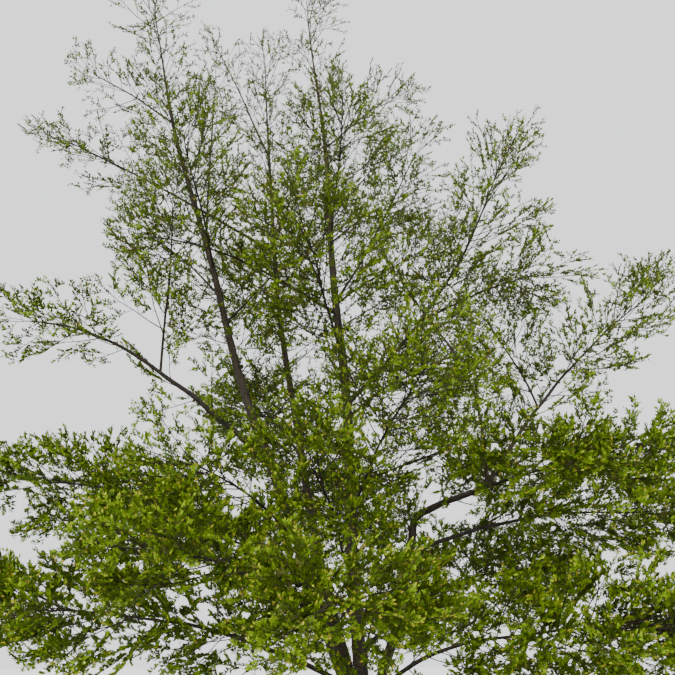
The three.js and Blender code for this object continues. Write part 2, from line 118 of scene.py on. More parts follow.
SHOOT_LIFT = 0.08  # how far it turns up towards its tip
FACE_STRAY = 0.3  # how far a shoot's plane strays from its twig's
LONG_TWIG = 1.1  # a twig of this length has the full radius
SLIM = (0.6, 1.2)  # least and most that a twig's radius is, as a share of the full one
TWIG_RADIUS = 0.01  # of each at its root
SHOOT_RADIUS = 0.005
SPUR_RADIUS = 0.003
TWIG_SIDES = 3  # sides of the tube that each is
STEM_SIDES = 6  # and of a mass's stem
STEM_CORNERS = 17  # points in such a stem, once its corners are rounded off
STEM_SMOOTHING = 5  # passes that round them off
STEEP = 0.9  # upward part of a tube's direction above which its rings take +X as their level

# Leaves
LEAF_GAP = 0.0245  # between leaves along a shoot
LEAVES_FROM = (0.7, 0.2, 0.1)  # share of a twig, a shoot and a spur at which their leaves start
LEAF_SIZE = (0.1, 0.066)  # length at the ground and at the crown's top
LEAF_SIZES = (0.7, 1.15)  # range of sizes about that
YOUNG_LEAF = 0.5  # size of the youngest leaf, at a shoot's tip
LEAF_LEAN = 42  # angle between a leaf and its shoot
LEAF_LEAN_SWAY = 14  # how far it strays from that
LEAF_STRAY = 0.25  # how far its direction strays every way
LEAF_RISE = 0.45  # young leaves stand up a little from their shoot
LEAF_TURN = 0.9  # how far leaves turn out of the spray's plane
# Tiers of a leaf: how far the lobes reach, their height, and the height of the point that they taper to
LEAF_TIERS = ((0.17, 0.3, 0), (0.34, 0.2, 0.62), (0.24, 0.46, 1))
HIGH_LEAF_TIERS = ((0.2, 0.36, 0), (0.28, 0.24, 1))  # on the leaves high up, seen from far below
HIGH_LEAVES_FROM = 4.5  # height above which those grow
LOBE_LIFT = 0.06  # of the lobes' tips, which cups the leaf
LEAF_TIP_DROP = -0.07  # and of its tip
FULLNESS_HEIGHTS = (4, 8, 11, 15)  # from which to which the crown thins out
FULLNESS = (1.23, 1.05, 0.91, 0.85)  # at those heights
INNER_CROWN = (1, 3.6)  # distances from the trunk's foot between which the low tiers fill up
INNER_FULLNESS = 0.78  # at the first of them
INNER_HEIGHTS = (6, 9)  # between which the crown becomes as full inside as outside
# Painted light and shade by height: bright colours for lit low tiers, greyish olive for the shaded upper
# crown
TINT_HEIGHTS = (4, 12)  # between which the colours change from the low to the high ones
TINT_CHANGE = 0.8  # share of shoots that take another colour than their twig's
LEAF_TINTS = [
    # painted shade: greyed and darkened for upper leaves seen from below against the sky
    ("Painted-shade greyish olive alder leaf", "#51561f"),
    ("Olive alder leaf", "#394907"),
    ("Green alder leaf", "#475f07"),
    ("Bright young alder leaf", "#6b8710"),
    ("Yellow-green youngest alder leaf", "#98a42c"),
    ("Tan leaf bud", "#9d8b35"),
]
TINTS_HIGH = (0.42, 0.3, 0.24, 0.04, 0, 0)  # shares of those colours in the upper crown
TINTS_LOW = (0, 0.23, 0.43, 0.32, 0.02, 0)  # and in the lower tiers
LEAF_AGES = (0.35, 0.8)  # leaves before the first share of a shoot are darker, past the second lighter
LIGHTEST_BY_AGE = 3  # the number of the lightest colour that a leaf can take so
TIP_LEAVES_FROM = 0.9  # share of a shoot from which its leaves are the youngest ones
TIP_TINTS = (0.36, 0.26)  # share of the youngest leaves low down that have each of the last two colours
TIP_TINTS_HIGH = 0.12  # times that share in the upper crown
PIECE_LIMIT = 190000  # triangles in a piece

# Limbs and their bark
BOUGH_SIDES = 10
BOUGH_RINGS = 24
TIP_RING = 0.15  # how far the last ring but one is from a limb's tip, in the tip's radii
COLLAR = 0.45  # how far a bough swells where it leaves its bearer, as a share of its radius
COLLAR_REACH = 1.2  # in foot radii
BEND = 2.6  # how far the bend reaches where a limb goes on from another's tip, in that tip's radii
BEND_RINGS = 5
BEND_OVERLAP = 0.9  # how far the limb before it runs on inside the bend, in the same radii
LUMP = 0.3  # size of the lumps in a limb
LUMP_DEPTH = 0.16  # as a share of the limb's radius
SUBDIVISIONS = 2  # of a limb's mesh, before its relief
ON_GROUND = 1e-4  # a corner lower than this lies on the ground
NO_TURN = 1e-5  # an angle too small to turn a ring by
RELIEF_PLATE = (0.05, 0.17)  # width and length of the plates between cracks that are in the mesh
CRACK_DEPTH = 0.012  # of the cracks in the mesh
CRACK_CONTRAST = 1.2  # of the texture that cuts them
PLATE = (0.024, 0.095)  # width and length of the plates in the material
CRACK_STRAY = 1.5  # how far the cracks between those stray, in plates
ALGAE_PATCH = 0.25  # size of the patches of algae on the bark
ALGAE_HEIGHT = 3.5  # above which they are faint
MOTTLE = 0.05  # size of the mottling on smooth bark

# Camera, light and floor
CAMERA_PLACE = (-0.45, -16, 1.6)
CAMERA_TILT = 18.6
CAMERA_LENS = 48
SKY_STRENGTH = 1.7
SUN_PLACE = (-8, -12, 20)
SUN_TURN = (42, -22, 0)
SUN_STRENGTH = 4.5
SUN_WIDTH = 0.6
FLOOR_RADIUS = 45
FLOOR_DROP = 0.002  # how far the floor lies below the trunk's cut
SEED = 11

# Each limb stands on another at a share of that one's length. Veer and bend are how far heading and rise
# turn on the way to its tip.
LIMBS = [
    dict(name="trunk", length=13.55, foot=0.135, tip=0.017, heading=182, veer=-7, rise=88, bend=-4,
         sides=20, rings=90),
    dict(name="left_stem", on="trunk", at=0.02, length=12.9, foot=0.118, tip=0.017,
         heading=197, veer=-3, rise=66, bend=11, sides=16, rings=80),
    dict(name="middle_stem", on="trunk", at=0.02, length=13.2, foot=0.1, tip=0.017,
         heading=156, veer=-30, rise=72, bend=14, sides=16, rings=80),
    dict(name="right_stem", on="trunk", at=0.02, length=3.5, foot=0.096, tip=0.072,
         heading=6, veer=-8, rise=66, bend=18, sides=16, rings=30),
    dict(name="right_bough", on="right_stem", at=1, length=1.46, foot=0.068, tip=0.048,
         heading=-45, veer=37, rise=21, bend=-8),
    dict(name="right_riser", on="right_bough", at=1, length=3.0, foot=0.034, tip=0.02,
         heading=270, veer=-100, rise=92, bend=-42),
    dict(name="right_far_bough", on="right_bough", at=1, length=2.8, foot=0.042, tip=0.026,
         heading=30, veer=-18, rise=55, bend=-8),
    dict(name="right_side_bough", on="right_stem", at=0.82, length=2.3, foot=0.044, tip=0.028,
         heading=18, veer=-10, rise=24, bend=-14),
    dict(name="long_right_bough", on="trunk", at=0.42, length=2.7, foot=0.044, tip=0.026,
         heading=-24, veer=1, rise=39, bend=14),
    dict(name="left_bough", on="left_stem", at=0.35, length=2.64, foot=0.062, tip=0.034,
         heading=195, veer=9, rise=43, bend=-13),
    dict(name="mid_left_bough", on="left_stem", at=0.2, length=2.1, foot=0.04, tip=0.024,
         heading=180, veer=6, rise=32, bend=-8),
    dict(name="low_left_bough", on="left_stem", at=0.055, length=3.0, foot=0.048, tip=0.026,
         heading=210, veer=4, rise=24, bend=-12),
    dict(name="front_left_bough", on="left_stem", at=0.13, length=1.9, foot=0.042, tip=0.026,
         heading=244, veer=4, rise=22, bend=-10),
    dict(name="front_bough", on="trunk", at=0.05, length=2.7, foot=0.046, tip=0.026,
         heading=274, veer=-16, rise=38, bend=-24),
    dict(name="front_right_bough", on="trunk", at=0.04, length=2.5, foot=0.046, tip=0.026,
         heading=312, veer=12, rise=40, bend=-30),
    dict(name="back_right_bough", on="trunk", at=0.1, length=2.3, foot=0.046, tip=0.028,
         heading=46, veer=-6, rise=38, bend=-18),
    dict(name="back_bough", on="trunk", at=0.2, length=2.3, foot=0.044, tip=0.028,
         heading=84, veer=4, rise=40, bend=-16),
    dict(name="back_left_bough", on="middle_stem", at=0.16, length=2.3, foot=0.044, tip=0.028,
         heading=136, veer=8, rise=34, bend=-14),
]

# Each mass likewise, with how far it reaches to the sides and the share of its stem that is bare. Some
# are thinner than the rest, so that limbs show through them, and some are fuller.
MASSES = [
    dict(name="trunk_top", on="trunk", at=1, length=1.15, reach=0.75,
         heading=180, rise=85, bend=0, bare=0),
    dict(name="left_stem_top", on="left_stem", at=1, length=1.35, reach=0.85,
         heading=190, rise=78, bend=4, bare=0),
    dict(name="middle_stem_top", on="middle_stem", at=1, length=1.2, reach=0.8,
         heading=120, rise=83, bend=0, bare=0),
    dict(name="left_leader", on="left_stem", at=0.68, length=3.45, reach=0.7,
         heading=-52, veer=-18, rise=93, bend=-10, bare=0.4, fullness=0.94),
    dict(name="left_upright", on="left_bough", at=0.95, length=3.35, reach=1.1,
         heading=-26, veer=19, rise=86, bend=6, bare=0.2),
    dict(name="left_bough_end", on="left_bough", at=1, length=2.3, reach=0.85,
         heading=200, veer=-2, rise=36, bend=-40, bare=0.1),
    dict(name="mid_left_end", on="mid_left_bough", at=1, length=2.9, reach=1.2,
         heading=186, rise=22, bend=-22, bare=0, fullness=1.07),
    dict(name="low_left_end", on="low_left_bough", at=1, length=2.7, reach=1.35,
         heading=208, rise=10, bend=-12, bare=0, fullness=1.08),
    dict(name="front_left_end", on="front_left_bough", at=1, length=3.0, reach=1.35,
         heading=244, rise=12, bend=-12, bare=0),
    dict(name="front_end", on="front_bough", at=1, length=2.7, reach=1.3,
         heading=262, rise=12, bend=-14, bare=0),
    dict(name="front_right_end", on="front_right_bough", at=1, length=3.1, reach=1.4,
         heading=322, rise=9, bend=-12, bare=0, fullness=1.06),
    dict(name="right_side_end", on="right_side_bough", at=1, length=2.7, reach=1.35,
         heading=6, rise=10, bend=-16, bare=0, fullness=1.06),
    dict(name="right_front", on="right_bough", at=0.8, length=3.2, reach=1.25,
         heading=304, rise=10, bend=-16, bare=0.2, fullness=1.08),
    dict(name="right_far_end", on="right_far_bough", at=1, length=2.6, reach=1.1,
         heading=6, rise=48, bend=-12, bare=0),
    dict(name="right_far_side", on="right_far_bough", at=0.7, length=2.7, reach=1.1,
         heading=118, veer=20, rise=62, bend=-6, bare=0.15),
    dict(name="right_riser_top", on="right_riser", at=1, length=1.6, reach=1.0,
         heading=170, rise=56, bend=12, bare=0),
    dict(name="long_right_end", on="long_right_bough", at=1, length=2.9, reach=1.1,
         heading=-22, rise=54, bend=20, bare=0),
    dict(name="long_right_side", on="long_right_bough", at=0.75, length=2.5, reach=1.15,
         heading=-4, rise=30, bend=-16, bare=0.1),
    dict(name="high_right", on="trunk", at=0.57, length=3.45, reach=0.95,
         heading=-12, veer=-14, rise=57, bend=8, bare=0.35),
    dict(name="back_right_end", on="back_right_bough", at=1, length=2.9, reach=1.35,
         heading=40, rise=20, bend=-20, bare=0, fullness=1.04),
    dict(name="back_end", on="back_bough", at=1, length=2.8, reach=1.3,
         heading=88, rise=24, bend=-22, bare=0),
    dict(name="back_left_end", on="back_left_bough", at=1, length=2.9, reach=1.35,
         heading=144, rise=20, bend=-18, bare=0),
    dict(name="trunk_left_low", on="trunk", at=0.55, length=3.9, reach=0.9,
         heading=212, veer=-2, rise=28, bend=-32, bare=0.3),
    dict(name="trunk_right_low", on="trunk", at=0.565, length=3.0, reach=1.15,
         heading=24, veer=7, rise=42, bend=-12, bare=0.25),
    dict(name="trunk_right_high", on="trunk", at=0.815, length=2.2, reach=0.8,
         heading=13, veer=11, rise=48, bend=-3, bare=0.2),
    dict(name="trunk_front_high", on="trunk", at=0.64, length=3.0, reach=1.1,
         heading=276, rise=42, bend=-14, bare=0.25),
    dict(name="trunk_front_middle", on="trunk", at=0.46, length=3.7, reach=1.25,
         heading=258, rise=38, bend=-24, bare=0.3),
    dict(name="trunk_front_low", on="trunk", at=0.27, length=4.2, reach=1.35,
         heading=288, rise=38, bend=-24, bare=0.3, fullness=0.76),
    dict(name="trunk_front_bottom", on="trunk", at=0.18, length=3.9, reach=1.3,
         heading=260, rise=36, bend=-26, bare=0.3, fullness=0.88),
    dict(name="trunk_back_low", on="trunk", at=0.4, length=4.05, reach=1.35,
         heading=61, rise=37, bend=-20, bare=0.3),
    dict(name="trunk_back_high", on="trunk", at=0.66, length=3.0, reach=1.1,
         heading=66, rise=42, bend=-10, bare=0.25),
    dict(name="left_stem_far_high", on="left_stem", at=0.88, length=1.9, reach=0.7,
         heading=186, rise=38, bend=-12, bare=0.1),
    dict(name="left_stem_far_low", on="left_stem", at=0.6, length=2.7, reach=0.8,
         heading=158, rise=50, bend=-18, bare=0.15, fullness=0.93),
    dict(name="left_stem_front_high", on="left_stem", at=0.64, length=2.8, reach=1.05,
         heading=262, rise=40, bend=-14, bare=0.2, fullness=0.93),
    dict(name="left_stem_front_low", on="left_stem", at=0.24, length=3.6, reach=1.25,
         heading=246, rise=24, bend=-22, bare=0.3, fullness=0.7),
    dict(name="left_stem_right", on="left_stem", at=0.56, length=2.75, reach=0.8,
         heading=40, veer=4, rise=48, bend=4, bare=0.35),
    dict(name="middle_stem_far_left", on="middle_stem", at=0.7, length=4.95, reach=0.9,
         heading=202, veer=2, rise=25, bend=-9, bare=0.35),
    dict(name="middle_leader", on="middle_stem", at=0.88, length=3.1, reach=0.65,
         heading=180, veer=11, rise=68, bend=-4, bare=0.2),
    dict(name="middle_stem_right", on="middle_stem", at=0.78, length=2.0, reach=0.85,
         heading=36, rise=46, bend=0, bare=0.15),
    dict(name="middle_stem_back_high", on="middle_stem", at=0.6, length=3.0, reach=1.1,
         heading=116, rise=40, bend=-14, bare=0.2),
    dict(name="middle_stem_back_low", on="middle_stem", at=0.36, length=4.0, reach=1.3,
         heading=112, rise=36, bend=-20, bare=0.3),
    dict(name="trunk_right_bottom", on="trunk", at=0.31, length=3.2, reach=1.25,
         heading=24, veer=-4, rise=26, bend=-12, bare=0.25),
]


def dice(seed, count):
    """An even random number from 0 to 1 that is the same for the same seed and count."""
    x = math.sin(seed * SCATTER[0] + count * SCATTER[1]) * SCATTER[2]
    return x - math.floor(x)


def sway(seed, count):
    """The same, from -1 to 1."""
    return 2 * dice(seed, count) - 1


def mix(a, b, t):
    return a + (b - a) * t


def unit(v):
    return v / np.linalg.norm(v, axis=-1, keepdims=True)


def direction(heading, rise):
    heading, rise = math.radians(heading), math.radians(rise)
    level = math.cos(rise)
    return np.array([level * math.cos(heading), level * math.sin(heading), math.sin(rise)])


def run_of(limb, foot, pieces):
    """The middle line of a limb from its foot: heading and rise turn evenly, and stray on the way."""
    points, ways = [foot], []
    phase = dice(limb["seed"], 1)
    for k in range(pieces):
        t = (k + 0.5) / pieces
        stray = WANDER * math.sin(2 * math.pi * (WANDER_WAVES * t + phase))
        lift = WANDER * math.sin(2 * math.pi * (WANDER_WAVES * t + 2 * phase + LIFT_STEP))
        heading = limb["heading"] + limb.get("veer", 0) * t + stray
        ways.append(direction(heading, limb["rise"] + limb["bend"] * t + LIFT_SHARE * lift))
        points.append(points[-1] + ways[-1] * limb["length"] / pieces)
    limb["points"], limb["ways"] = np.array(points), np.array(ways)


def along(limb, t):
    """The place and direction at share t of a limb."""
    pieces = len(limb["ways"])
    k = min(pieces - 1, int(t * pieces))
    return mix(limb["points"][k], limb["points"][k + 1], t * pieces - k), limb["ways"][k]


def radius_at(limb, t):
    return limb["tip"] + (limb["foot"] - limb["tip"]) * (1 - t) ** TAPER_POWER


def side_and_rise(way):
    """The two directions square to a way: level, and up from it. A plumb limb takes +X as its level."""
    side = np.array([1.0, 0, 0]) if abs(way[2]) > PLUMB else unit(np.cross(way, [0, 0, 1]))
    rise = unit(np.cross(side, way))
    return unit(np.cross(way, rise)), rise


def lay_out():
    """Gives every limb and every mass's stem its run, from the foot that its bearer gives it."""
    known = {}
    for seed, limb in enumerate([*LIMBS, *MASSES], 1):
        limb["seed"] = seed
        bearer = known.get(limb.get("on"))
        foot = along(bearer, limb["at"])[0] if bearer else np.zeros(3)
        is_mass = "reach" in limb
        if is_mass:
            limb["tip"] = STEM_TIP
            limb["foot"] = bearer["tip"] if limb["at"] == 1 else STEM_TIP + limb["length"] * STEM_TAPER
        run_of(limb, foot, STEM_PIECES if is_mass else LIMB_PIECES)
        limb["bearer"] = bearer
        known[limb["name"]] = limb
    for mass in MASSES:
        start, end = along(mass, mass["bare"])[0], along(mass, 1)[0]
        mass["upright"] = unit(end - start)[2] ** 2
        mass["flat"] = mix(FLATTEST, 1, mass["upright"])
        mass["spray"] = mass["reach"] * SPRAY_LENGTH
        shares = [mix(mass["bare"], 1, k / CORE_PIECES) for k in range(CORE_PIECES + 1)]
        mass["core"] = np.array([along(mass, share)[0] for share in shares])


def from_segments(places, a, b):
    """The offset of each place from the nearest point of each line from a to b."""
    line = b - a
    t = ((places[:, None] - a) * line).sum(-1) / (line * line).sum(-1)
    return places[:, None] - (a + np.clip(t, 0, 1)[..., None] * line)


def depths(places):
    """How far out each place is in each mass: 0 at its leafy stem, 1 at the edge of its room."""
    cores = np.array([m["core"] for m in MASSES])
    a, b = cores[:, :-1].reshape(-1, 3), cores[:, 1:].reshape(-1, 3)
    flat = np.array([m["flat"] for m in MASSES])
    edge = np.array([m["reach"] + m["spray"] * ROOM_EDGE for m in MASSES])
    out = []
    for part in np.array_split(places, len(places) // BATCH + 1):
        offset = from_segments(part, a, b).reshape(len(part), len(MASSES), CORE_PIECES, 3)
        offset[..., 2] /= flat[:, None]
        out.append(np.linalg.norm(offset, axis=-1).min(-1) / edge)
    return np.concatenate(out)


def in_own_room(places, owner, edge, spare):
    """True where a place is in its owner's room and inside the crown's box, and is nearer its owner than any
    other mass by spare. A spare of MAY_CROSS lets it be nearer another one."""
    depth = depths(places)
    rows = np.arange(len(places))
    own = depth[rows, owner]
    depth[rows, owner] = np.inf
    low, high = np.array(cad_box[0]), np.array(cad_box[1])
    boxed = ((places > low) & (places < high)).all(-1)
    return boxed & (own < edge) & (depth.min(-1) > own + spare)


def clear_of_limbs(places):
    """True where a place is outside every limb."""
    a = np.concatenate([limb["points"][:-1:LIMB_STRIDE] for limb in LIMBS])
    b = np.concatenate([limb["points"][LIMB_STRIDE::LIMB_STRIDE] for limb in LIMBS])
    shares = [k / LIMB_PIECES for k in range(0, LIMB_PIECES, LIMB_STRIDE)]
    thick = np.array([radius_at(limb, share) for limb in LIMBS for share in shares])
    out = []
    for part in np.array_split(places, len(places) // BATCH + 1):
        gap = np.linalg.norm(from_segments(part, a, b), axis=-1)
        out.append((gap > thick + CLEAR_OF_LIMBS).all(-1))
    return np.concatenate(out)


def main_twigs(mass):
    """The twigs of one mass by the solids' rule: root, direction and length of each."""
    first = mass["bare"] * STILL_BARE
    count = round(mass["length"] * (1 - first) * mass["reach"] ** 0.5 / TWIG_SPACING)
    for k in range(count):
        share = (k + 0.5) / count
        root, way = along(mass, mix(first, LAST_TWIG, share))
        side, rise = side_and_rise(way)
        turn = mix(180, GOLDEN_ANGLE, mass["upright"])
        roll = math.radians(k * turn + ROLL_SWAY * sway(mass["seed"], ROLL_DRAWS + k))
        outward = unit(side * math.cos(roll) + rise * math.sin(roll) * mass["flat"])
        lean = math.radians(mix(*TWIG_LEAN, share) + LEAN_SWAY * sway(mass["seed"], LEAN_DRAWS + k))
        aim = unit(way * math.cos(lean) + outward * math.sin(lean))
        longest = mass["reach"] * mix(1, SHORTEST_TWIG, 2 * abs(share - LONGEST_AT))
        length = longest * (1 + TWIG_SWAY * sway(mass["seed"], LENGTH_DRAWS + k))
        yield root, aim, length + mass["spray"] * (1 - SPRAY_INSET)
    yield *along(mass, TOP_TWIG), mass["spray"]


def is_stem(limb):
    """True for the trunk and the stems, for which the table gives sides and rings."""
    return "sides" in limb


def limb_twigs():
    """Twigs all round the limbs, each of which belongs to the mass that it grows out into."""
    for limb in LIMBS:
        gap = LIMB_TWIG_GAP[0 if is_stem(limb) else 1] * (SPARSE if limb["name"] in SPARSE_LIMBS else 1)
        count = int(limb["length"] * (1 - LEAFY_FROM) / gap)
        for k in range(count):
            share = (k + 0.5) / count
            root, way = along(limb, mix(LEAFY_FROM, 1, share**LIMB_TWIG_CROWDING))
            side, rise = side_and_rise(way)
            roll = math.radians(k * GOLDEN_ANGLE + ROLL_SWAY * sway(limb["seed"], ROLL_DRAWS + k))
            outward = side * math.cos(roll) + rise * math.sin(roll)
            angle = mix(*LIMB_TWIG_LEAN, share) + LEAN_SWAY * sway(limb["seed"], LEAN_DRAWS + k)
            lean = math.radians(angle)
            aim = unit(way * math.cos(lean) + outward * math.sin(lean))
            unequal = 1 + TWIG_SWAY * sway(limb["seed"], LENGTH_DRAWS + k)
            length = mix(*LIMB_TWIG_LENGTHS, share) * unequal
            owner = int(depths((root + aim * length * OWNER_AT)[None])[0].argmin())
            yield owner, root, aim, length


def places_at(paths, bearer, share):
    """The place and direction at a share of each bearer's path."""
    pieces = paths.shape[1] - 1
    k = np.minimum((share * pieces).astype(int), pieces - 1)
    a, b = paths[bearer, k], paths[bearer, k + 1]
    return a + (b - a) * (share * pieces - k)[:, None], unit(b - a)


def stations(lengths, gaps, first, last):
    """Even places along each path: which path, what share of it, and on which side, 1 or -1."""
    counts = (lengths * (last - first) / gaps + draws.random(len(lengths))).astype(int)
    bearer = np.repeat(np.arange(len(lengths)), counts)
    number = np.arange(len(bearer)) - np.repeat(np.cumsum(counts) - counts, counts)
    share = first + (last - first) * (number + 0.5) / counts[bearer]
    return bearer, share, 1 - 2 * (number % 2)


def bent(roots, aims, lengths, lift, strays):
    """Paths that set off along their aims, turn up by lift on the way and stray a little."""
    corners, way = [roots], aims
    pieces = strays.shape[1]
    for k in range(pieces):
        way = unit(way + strays[:, k] + np.outer(lift / pieces, (0, 0, 1)))
        corners.append(corners[-1] + way * (lengths / pieces)[:, None])
    return np.stack(corners, 1)


def has_room(paths, owner, edge, first, spare):
    """True for each path whose corners, from number first on, lie in its mass's room and clear of limbs."""
    tested = paths[:, first:]
    places = tested.reshape(-1, 3)
    owners, edges, spares = (np.repeat(values, tested.shape[1]) for values in (owner, edge, spare))
    good = in_own_room(places, owners, edges, spares) & clear_of_limbs(places)
    return good.reshape(len(paths), -1).all(-1)


def fullness(bearers):
    """How full the crown is where each bearer ends: dense tiers below, which thin out towards the stems, and
    thin leaders above."""
    x, y, z = bearers["paths"][:, -1].T
    share = np.array([mass.get("fullness", 1) for mass in MASSES])[bearers["owner"]]
    inner = np.interp(np.hypot(x, y), INNER_CROWN, (INNER_FULLNESS, 1))
    full = share * np.interp(z, FULLNESS_HEIGHTS, FULLNESS)
    return full * mix(inner, 1, np.interp(z, INNER_HEIGHTS, (0, 1)))


def deal_tints(places):
    """Which leaf colour each spray takes: more of the bright ones in the low tiers, as painted highlights,
    and of the greyish and olive ones above, as painted shade of the crown seen from below against the sky."""
    low = np.interp(places[:, 2], TINT_HEIGHTS, (1, 0))[:, None]
    chances = np.cumsum(mix(np.array(TINTS_HIGH), np.array(TINTS_LOW), low), axis=1)
    return (draws.random(len(places))[:, None] > chances[:, :-1]).sum(1)


def chosen(batch, keep):
    return {key: value[keep] for key, value in batch.items()}


def joined(*batches):
    return {key: np.concatenate([batch[key] for batch in batches]) for key in batches[0]}


def grow_twigs():
    """The main twigs of every mass and the twigs on the limbs, each at the longest of its tries that has
    room."""
    own = [(i, *twig) for i, mass in enumerate(MASSES) for twig in main_twigs(mass)]
    rows = [*own, *limb_twigs()]
    owner, roots, aims, lengths = (np.array(column) for column in zip(*rows))
    is_on_limb = np.arange(len(rows)) >= len(own)
    edge = np.where(is_on_limb, LIMB_TWIG_EDGE, 1)
    spare = np.where(is_on_limb, MAY_CROSS, CLEAR_OF_MASSES)
    upright = np.array([mass["upright"] for mass in MASSES])[owner]
    strays = draws.normal(0, TWIG_STRAY, (len(rows), TWIG_PIECES, 3))
    paths = np.zeros((len(rows), TWIG_PIECES + 1, 3))
    found = np.zeros(len(rows), bool)
    for size in TWIG_TRIES:
        todo = np.flatnonzero(~found)
        lift = mix(*TWIG_LIFT, upright[todo])
        tried = bent(roots[todo], aims[todo], lengths[todo] * size, lift, strays[todo])
        good = todo[has_room(tried, owner[todo], TWIG_EDGE * edge[todo], FIRST_TESTED, spare[todo])]
        paths[good] = tried[np.isin(todo, good)]
        lengths[good] *= size
        found[good] = True
    owner, paths, lengths, upright, edge = (a[found] for a in (owner, paths, lengths, upright, edge))
    way = unit(paths[:, -1] - paths[:, 0])
    level = unit(np.cross(way, (0, 0, 1)))
    roll = (draws.normal(0, 1, len(paths)) * mix(*SPRAY_ROLL, upright))[:, None]
    face = np.cross(level, way) * np.cos(roll) + level * np.sin(roll)
    tint = deal_tints(paths[:, -1])
    return dict(paths=paths, owner=owner, edge=edge, face=face, length=lengths, tint=tint)


def grow_shoots(bearers, gap, first, share_of_rest, least, most, pieces):
    """Side shoots that leave their bearers on both sides by turns, in the spray's plane, from the share
    first on. Each is longer by the least length than a share of the rest of its bearer, up to the most."""
    gaps = gap / fullness(bearers)
    bearer, share, hand = stations(bearers["length"], gaps, first, LAST_TWIG)
    root, way = places_at(bearers["paths"], bearer, share)
    edge = bearers["edge"][bearer]
    face = unit(bearers["face"][bearer] + draws.normal(0, FACE_STRAY, root.shape))
    angle = np.radians(mix(*SHOOT_LEAN, share) + draws.normal(0, SHOOT_LEAN_SWAY, len(share)))[:, None]
    side = unit(np.cross(face, way)) * hand[:, None]
    length = np.clip(bearers["length"][bearer] * (1 - share) * share_of_rest + least, least, most)
    length *= draws.uniform(*SHOOT_LENGTHS, len(length))
    strays = draws.normal(0, TWIG_STRAY, (len(root), pieces, 3))
    lift = np.full(len(root), SHOOT_LIFT)
    paths = bent(root, unit(way * np.cos(angle) + side * np.sin(angle)), length, lift, strays)
    tint = np.where(draws.random(len(root)) < TINT_CHANGE, deal_tints(root), bearers["tint"][bearer])
    owner = depths(paths[:, -1]).argmin(1)
    shoots = dict(paths=paths, owner=owner, edge=edge, face=face, length=length, tint=tint)
    return chosen(shoots, has_room(paths, owner, edge, pieces, np.zeros(len(owner))))


def grow_leaves(bearers, first):
    """Leaves on both sides of each bearer by turns, and one at its tip."""
    gaps = LEAF_GAP / fullness(bearers)
    bearer, share, hand = stations(bearers["length"], gaps, first, 1)
    tips = np.arange(len(bearers["length"]))
    bearer = np.concatenate([bearer, tips])
    share = np.concatenate([share, np.ones(len(tips))])
    hand = np.concatenate([hand, np.zeros(len(tips))])
    root, way = places_at(bearers["paths"], bearer, share)
    owner, face = bearers["owner"][bearer], bearers["face"][bearer]
    lean = (np.radians(draws.normal(LEAF_LEAN, LEAF_LEAN_SWAY, len(share))) * hand)[:, None]
    aim = way * np.cos(lean) + unit(np.cross(face, way)) * np.sin(lean)
    aim = unit(aim + draws.normal(0, LEAF_STRAY, root.shape) + np.array((0, 0, LEAF_RISE)))
    across = unit(np.cross(aim, face + draws.normal(0, LEAF_TURN, root.shape)))
    size = mix(*LEAF_SIZE, np.clip(root[:, 2] / cad_box[1].z, 0, 1))
    size *= draws.uniform(*LEAF_SIZES, len(share))
    size *= mix(1, YOUNG_LEAF, share**3)
    age = np.digitize(share, LEAF_AGES) - 1
    tint = np.clip(bearers["tint"][bearer] + age, 0, LIGHTEST_BY_AGE)
    low = np.interp(root[:, 2], TINT_HEIGHTS, (1, TIP_TINTS_HIGH))
    luck = draws.random(len(share)) / low
    youngest = share > TIP_LEAVES_FROM
    tint = np.where(youngest & (luck < sum(TIP_TINTS)), len(LEAF_TINTS) - 2, tint)
    tint = np.where(youngest & (luck < TIP_TINTS[1]), len(LEAF_TINTS) - 1, tint)
    leaves = dict(root=root, aim=aim, across=across, size=size, owner=owner, tint=tint)
    ends = root + aim * size[:, None]
    return chosen(leaves, in_own_room(ends, owner, bearers["edge"][bearer], MAY_CROSS))


def leaf_outline(tiers):
    """One cut leaf, 1 long and in its own plane, cupped a little: each tier is a pair of lobes and the point
    that they taper to, at the leaf's foot or towards its tip."""
    corners = []
    for reach, height, point in tiers:
        hand = 1 if point > height else -1
        lobes = [(side * hand * reach, height, LOBE_LIFT) for side in (-1, 1)]
        corners += [*lobes, (0, point, LEAF_TIP_DROP * point)]
    return np.array(corners, float), np.arange(len(corners)).reshape(-1, 3)


def leaf_mesh(leaves):
    """The corners and triangles of these leaves, and the colour number of each triangle."""
    corners, triangles, tints = [], [], []
    for tiers, is_here in ((LEAF_TIERS, ~is_high(leaves)), (HIGH_LEAF_TIERS, is_high(leaves))):
        here = chosen(leaves, is_here)
        outline, pattern = leaf_outline(tiers)
        axes = np.stack([here["across"], here["aim"], np.cross(here["across"], here["aim"])], axis=1)
        grown = here["root"][:, None] + (outline @ axes) * here["size"][:, None, None]
        first = sum(len(part) for part in corners)
        step = first + np.arange(len(grown))[:, None, None] * len(outline)
        corners.append(grown.reshape(-1, 3))
        triangles.append((pattern + step).reshape(-1, 3))
        tints.append(np.repeat(here["tint"], len(pattern)))
    return [np.concatenate(parts) for parts in (corners, triangles, tints)]


def is_high(leaves):
    return leaves["root"][:, 2] > HIGH_LEAVES_FROM


